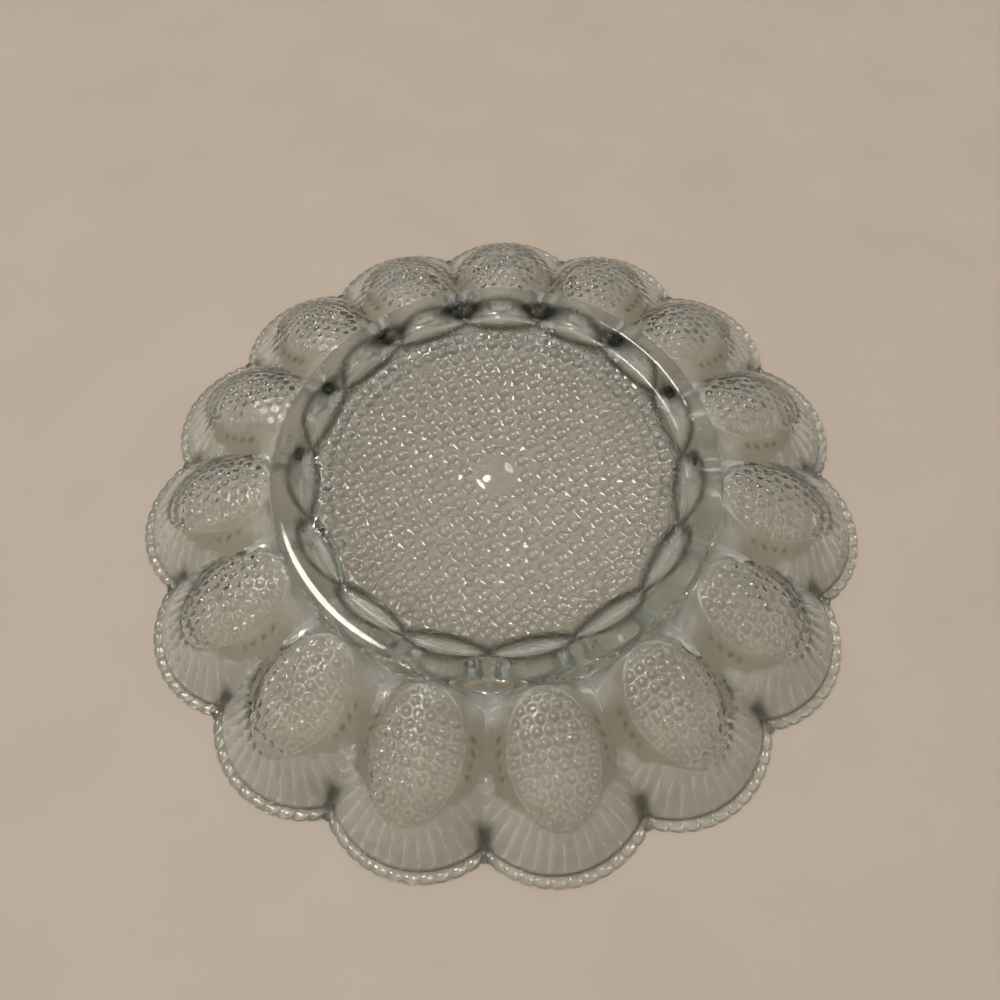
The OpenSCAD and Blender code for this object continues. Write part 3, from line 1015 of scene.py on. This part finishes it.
class PlatterForm(bpy.types.PropertyGroup):
    """Sizes of the pressed pattern."""

    wall: length("Wall", "Glass between the two faces", 0.004)
    hobnail_row: length("Hobnail row", "Distance between rows of hobnails on a well", 0.0038)
    hobnail_width: length("Hobnail width", "Width of a hobnail on a well", 0.0044)
    hobnail_rise: length("Hobnail rise", "Height of a hobnail on a well", 0.0011)
    dish_hobnail: length("Dish hobnail", "Width of a hobnail near the boss", 0.0047)
    dish_hobnail_edge: length("Edge hobnail", "Width of a hobnail on the dish's last ring", 0.0040)
    dish_hobnail_rise: length("Dish hobnail rise", "Height of a hobnail of the dish", 0.0013)
    flute_rise: length("Flute rise", "Height of a flute on the skirt", 0.0012)
    bead_depth: length("Bead depth", "Depth of the divisions between beads", 0.001)
    crease: length("Crease", "Depth of the crease round a well's hobnails", 0.00025)
    valley: length("Valley fillet", "Fillet between neighbouring wells", 0.0018)
    weld: length("Weld", "Distance at which meeting points of two sectors are welded", 0.00001)


class PlatterGlass(bpy.types.PropertyGroup):
    """Finish of the glass."""

    body_colour: colour("Melt colour", "Colour that thick glass turns towards", "#B4C2A8")
    body_density: bpy.props.FloatProperty(
        name="Melt density", description="How fast thick glass takes on that colour, per metre", default=7)
    ior: bpy.props.FloatProperty(
        name="Refraction", description="Index of refraction of soda-lime glass",
        default=1.5, min=1.0, max=2.0)
    roughness: factor("Haze", "Mean roughness of the pressed face", 0.02)
    # How strongly the whitening paints highlights between hobnails and flutes
    haze_and_highlight: factor("Bloom", "Share of light that the bloom between hobnails and flutes scatters", 0.4)
    frost_roughness: factor("Bloom roughness", "Roughness that the bloom adds", 0.25)
    # Dark colour of the painted shade along walls, valleys and edges
    painted_shade_colour: colour(
        "Painted shade colour", "Colour of the glass where ridges and walls stand thick", "#3A4233")
    haze_size: length("Haze size", "Width of the hazy patches", 0.012)
    wave_size: length("Wave size", "Width of the fire polish waves", 0.008)
    wave_depth: length("Wave depth", "Depth of the fire polish waves", 0.0001)
    wave_strength: factor("Wave strength", "Share of the waves that shows", 0.5)


class PlatterStage(bpy.types.PropertyGroup):
    """Table, light and camera."""

    floor_light: colour("Table light", "Lighter colour of the table", "#C9BBAD")
    floor_dark: colour("Table dark", "Darker colour of the table", "#BCAEA0")
    cloud_size: length("Cloud size", "Width of the table's cloudy patches", 0.05)
    room_top: colour("Room above", "Colour of the room overhead", "#B9B6B2")
    room_side: colour("Room side", "Colour of the room at table height", "#4A4844")
    lamp_way: bpy.props.FloatVectorProperty(
        name="Lamp direction", description="Where the ceiling lamp stands, seen from the platter",
        default=(-0.35, 0.25, 0.9), size=3)
    lamp_size: angle("Lamp size", "Half angle of the ceiling lamp", math.radians(9))
    lamp_level: bpy.props.FloatProperty(
        name="Lamp level", description="Brightness of the ceiling lamp against the room", default=20.0)
    lens: bpy.props.FloatProperty(
        name="Lens", description="Focal length for a 36 mm sensor", default=27.036, unit="CAMERA")
    distance: length("Distance", "Camera distance along its axis", 0.3007385)
    pitch: angle("Pitch", "Angle by which the camera looks down", 1.0954735)
    roll: angle("Roll", "Roll of the camera", -0.0501452)
    turn: angle("Turn", "Turn of the camera round the platter", math.radians(-1.76))


def form_values(context):
    """The pattern's sizes in millimetres."""
    props = context.scene.platter_form
    return {key: getattr(props, key) / MM for key in PlatterForm.__annotations__}


# Geometry Nodes


def pressing_tree():
    """Turns copies of one sector round the axis, adds the dish and welds all into one body."""
    tree = bpy.data.node_groups.new("Turned sectors", "GeometryNodeTree")
    sockets = {}
    for name, kind in (("Sector", "NodeSocketGeometry"), ("Wells", "NodeSocketInt"),
                       ("First well", "NodeSocketFloat"), ("Dish", "NodeSocketObject"),
                       ("Weld", "NodeSocketFloat"), ("Glass", "NodeSocketMaterial")):
        sockets[name] = tree.interface.new_socket(name, in_out="INPUT", socket_type=kind)
    tree.interface.new_socket("Platter", in_out="OUTPUT", socket_type="NodeSocketGeometry")
    given = add_node(tree, "NodeGroupInput", (-900, 0)).outputs
    points = add_node(tree, "GeometryNodePoints", (-650, 200), links={"Count": given["Wells"]})
    index = add_node(tree, "GeometryNodeInputIndex", (-900, -300))
    step = add_node(tree, "ShaderNodeMath", (-700, -400), settings={"operation": "DIVIDE"},
                    values={0: 2 * math.pi}, links={1: given["Wells"]})
    turn = add_node(tree, "ShaderNodeMath", (-500, -300), settings={"operation": "MULTIPLY_ADD"},
                    links={0: index.outputs[0], 1: step.outputs[0], 2: given["First well"]})
    spin = add_node(tree, "ShaderNodeCombineXYZ", (-300, -300), links={"Z": turn.outputs[0]})
    copies = add_node(tree, "GeometryNodeInstanceOnPoints", (-100, 100), links={
        "Points": points.outputs[0], "Instance": given["Sector"], "Rotation": spin.outputs[0]})
    dish = add_node(tree, "GeometryNodeObjectInfo", (-300, -550), links={"Object": given["Dish"]})
    join = add_node(tree, "GeometryNodeJoinGeometry", (100, 0), links={"Geometry": dish.outputs["Geometry"]})
    tree.links.new(copies.outputs[0], join.inputs[0])
    real = add_node(tree, "GeometryNodeRealizeInstances", (280, 0), links={"Geometry": join.outputs[0]})
    weld = add_node(tree, "GeometryNodeMergeByDistance", (460, 0), links={
        "Geometry": real.outputs[0], "Distance": given["Weld"]})
    smooth = add_node(tree, "GeometryNodeSetShadeSmooth", (640, 0), links={"Geometry": weld.outputs[0]})
    paint = add_node(tree, "GeometryNodeSetMaterial", (820, 0), links={
        "Geometry": smooth.outputs[0], "Material": given["Glass"]})
    out = add_node(tree, "NodeGroupOutput", (1000, 0))
    tree.links.new(paint.outputs[0], out.inputs[0])
    return tree, {name: s.identifier for name, s in sockets.items()}


def realised(obj, name):
    """A plain mesh object from what an object's modifiers give; the first object goes."""
    bpy.context.view_layer.update()
    graph = bpy.context.evaluated_depsgraph_get()
    mesh = bpy.data.meshes.new_from_object(obj.evaluated_get(graph), depsgraph=graph)
    mesh.name = name
    made = bpy.data.objects.new(name, mesh)
    bpy.context.scene.collection.objects.link(made)
    obj.modifiers.clear()
    bpy.data.objects.remove(obj)
    return made


def check_closed(obj):
    """Raises unless the mesh is one closed skin with its normals outwards."""
    shape = bmesh.new()
    shape.from_mesh(obj.data)
    loose = sum(1 for e in shape.edges if len(e.link_faces) != 2)
    volume = shape.calc_volume(signed=True)
    count = sum(len(f.verts) - 2 for f in shape.faces)
    shape.free()
    print(f"{obj.name}: {count} triangles, {loose} open edges, {volume * 1e6:.1f} cm3")
    if loose or volume <= 0 or count >= MOST_TRIANGLES:
        raise RuntimeError(f"{obj.name} isn't a closed body of the right size")


# Operators


class PLATTER_OT_sector(bpy.types.Operator):
    """Shapes one sector: its hobnailed well, fluted skirt, beads and share of the foot ring"""

    bl_idname = "platter.sector"
    bl_label = "Shape one sector"

    def execute(self, context):
        form = form_values(context)
        pattern = WellPattern(form["hobnail_row"], form["hobnail_width"], form["hobnail_rise"])
        mesh_object("platter_sector", *sector_mesh(form, pattern))
        return {"FINISHED"}


class PLATTER_OT_dish(bpy.types.Operator):
    """Shapes the dish in the middle with its boss and its rings of hobnails"""

    bl_idname = "platter.dish"
    bl_label = "Shape the dish"

    def execute(self, context):
        mesh_object("platter_dish", *dish_mesh(form_values(context)))
        return {"FINISHED"}


class PLATTER_OT_pressing(bpy.types.Operator):
    """Turns the sector round the axis and welds it and the dish into the one pressing of glass"""

    bl_idname = "platter.pressing"
    bl_label = "Weld the pressing"

    def execute(self, context):
        sector = bpy.data.objects.get("platter_sector")
        dish = bpy.data.objects.get("platter_dish")
        if sector is None or dish is None:
            raise RuntimeError("the sector and the dish come first")
        glass = glass_material(context.scene.platter_glass)
        tree, ids = pressing_tree()
        modifier = sector.modifiers.new("Turned sectors", "NODES")
        modifier.node_group = tree
        modifier[ids["Wells"]] = WELLS
        modifier[ids["First well"]] = math.radians(FIRST_WELL)
        modifier[ids["Dish"]] = dish
        modifier[ids["Weld"]] = context.scene.platter_form.weld
        modifier[ids["Glass"]] = glass
        platter = realised(sector, "platter_glass")
        bpy.data.objects.remove(dish)
        check_closed(platter)
        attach(platter, "root")
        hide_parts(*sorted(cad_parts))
        return {"FINISHED"}


def room_world(props):
    """The room that the glass mirrors and bends: grey, darker at table height, with one small lamp.
    The camera sees the table's own colour past the table's edge."""
    world = bpy.data.worlds.new("room")
    world.use_nodes = True
    tree = world.node_tree
    tree.nodes.clear()
    way = add_node(tree, "ShaderNodeTexCoord", (-900, 0)).outputs["Generated"]
    split = add_node(tree, "ShaderNodeSeparateXYZ", (-700, 0), links={"Vector": way})
    rise = add_node(tree, "ShaderNodeMapRange", (-500, 0), {"interpolation_type": "SMOOTHSTEP"},
                    {"From Min": 0.0, "From Max": 0.8}, {"Value": split.outputs["Z"]})
    blend = add_node(tree, "ShaderNodeMix", (-300, 0), {"data_type": "RGBA"},
                     {MIX_A: opaque(props.room_side), MIX_B: opaque(props.room_top)},
                     {"Factor": rise.outputs["Result"]})
    room = add_node(tree, "ShaderNodeBackground", (-50, 0), links={"Color": blend.outputs[MIX_OUT]})
    facing = add_node(tree, "ShaderNodeVectorMath", (-700, -300), {"operation": "DOT_PRODUCT"},
                      {1: Vector(props.lamp_way).normalized()}, {0: way})
    spot = add_node(tree, "ShaderNodeMapRange", (-500, -300), {"interpolation_type": "SMOOTHSTEP"},
                    {"From Min": math.cos(props.lamp_size * 1.15),
                     "From Max": math.cos(props.lamp_size * 0.85), "To Max": props.lamp_level},
                    {"Value": facing.outputs["Value"]})
    lamp = add_node(tree, "ShaderNodeBackground", (-50, -350), values={"Color": linear("#FFFBF3")},
                    links={"Strength": spot.outputs["Result"]})
    both = add_node(tree, "ShaderNodeAddShader", (150, -100),
                    links={0: room.outputs[0], 1: lamp.outputs[0]})
    seen = add_node(tree, "ShaderNodeBackground", (-50, -200), values={
        "Color": opaque(props.floor_light), "Strength": 1.0})
    path = add_node(tree, "ShaderNodeLightPath", (-300, 300))
    pick = add_node(tree, "ShaderNodeMixShader", (300, 0), links={
        0: path.outputs["Is Camera Ray"], 1: both.outputs[0], 2: seen.outputs[0]})
    add_node(tree, "ShaderNodeOutputWorld", (500, 0), links={"Surface": pick.outputs[0]})
    return world


def photo_camera(props):
    """The camera at the photograph's viewing angle."""
    camera = bpy.data.cameras.new("camera")
    camera.lens = props.lens
    camera.sensor_width = SENSOR_WIDTH
    camera.clip_start = 0.01
    camera.clip_end = 20.0
    holder = bpy.data.objects.new("camera", camera)
    ahead = Vector((0, math.cos(props.pitch), -math.sin(props.pitch)))
    right = Vector((1, 0, 0))
    up = Vector((0, math.sin(props.pitch), math.cos(props.pitch)))
    side = right * math.cos(props.roll) + up * math.sin(props.roll)
    over = up * math.cos(props.roll) - right * math.sin(props.roll)
    pose = Matrix((side, over, -ahead)).transposed().to_4x4()
    pose.translation = AIM - ahead * props.distance
    holder.matrix_world = Matrix.Rotation(props.turn, 4, "Z") @ pose
    return holder


class PLATTER_OT_stage(bpy.types.Operator):
    """Sets the table, the soft light, the room and the camera"""

    bl_idname = "platter.stage"
    bl_label = "Set the stage"

    def execute(self, context):
        props = context.scene.platter_stage
        scene = context.scene
        corners = [(x * TABLE_REACH, y * TABLE_REACH, 0.0) for x, y in ((-1, -1), (1, -1), (1, 1), (-1, 1))]
        table = mesh_object("table", corners, [(0, 1, 2, 3)])
        table.location.z = -TABLE_GAP
        table.data.materials.append(table_material(props))
        scene.world = room_world(props)
        camera = photo_camera(props)
        scene.collection.objects.link(camera)
        scene.camera = camera
        scene.view_settings.view_transform = "Standard"
        return {"FINISHED"}


class PLATTER_PT_panel(bpy.types.Panel):
    """Lists the steps and the sizes of the platter"""

    bl_idname = "PLATTER_PT_panel"
    bl_label = "Deviled egg platter"
    bl_space_type = "VIEW_3D"
    bl_region_type = "UI"
    bl_category = "Platter"

    def draw(self, context):
        for group, steps in ((context.scene.platter_form, ("platter.sector", "platter.dish")),
                             (context.scene.platter_glass, ("platter.pressing",)),
                             (context.scene.platter_stage, ("platter.stage",))):
            box = self.layout.box()
            for key in group.__annotations__:
                box.prop(group, key)
            for step in steps:
                box.operator(step)


CLASSES = (PlatterForm, PlatterGlass, PlatterStage, PLATTER_OT_sector, PLATTER_OT_dish, PLATTER_OT_pressing,
           PLATTER_OT_stage, PLATTER_PT_panel)


def register():
    for kind in CLASSES:
        bpy.utils.register_class(kind)
    bpy.types.Scene.platter_form = bpy.props.PointerProperty(type=PlatterForm)
    bpy.types.Scene.platter_glass = bpy.props.PointerProperty(type=PlatterGlass)
    bpy.types.Scene.platter_stage = bpy.props.PointerProperty(type=PlatterStage)


def unregister():
    del bpy.types.Scene.platter_stage
    del bpy.types.Scene.platter_glass
    del bpy.types.Scene.platter_form
    for kind in reversed(CLASSES):
        bpy.utils.unregister_class(kind)


def main():
    register()
    for step in (bpy.ops.platter.sector, bpy.ops.platter.dish,
                 bpy.ops.platter.pressing, bpy.ops.platter.stage):
        if step() != {"FINISHED"}:
            raise RuntimeError("a step didn't finish")


if __name__ == "__main__":
    main()
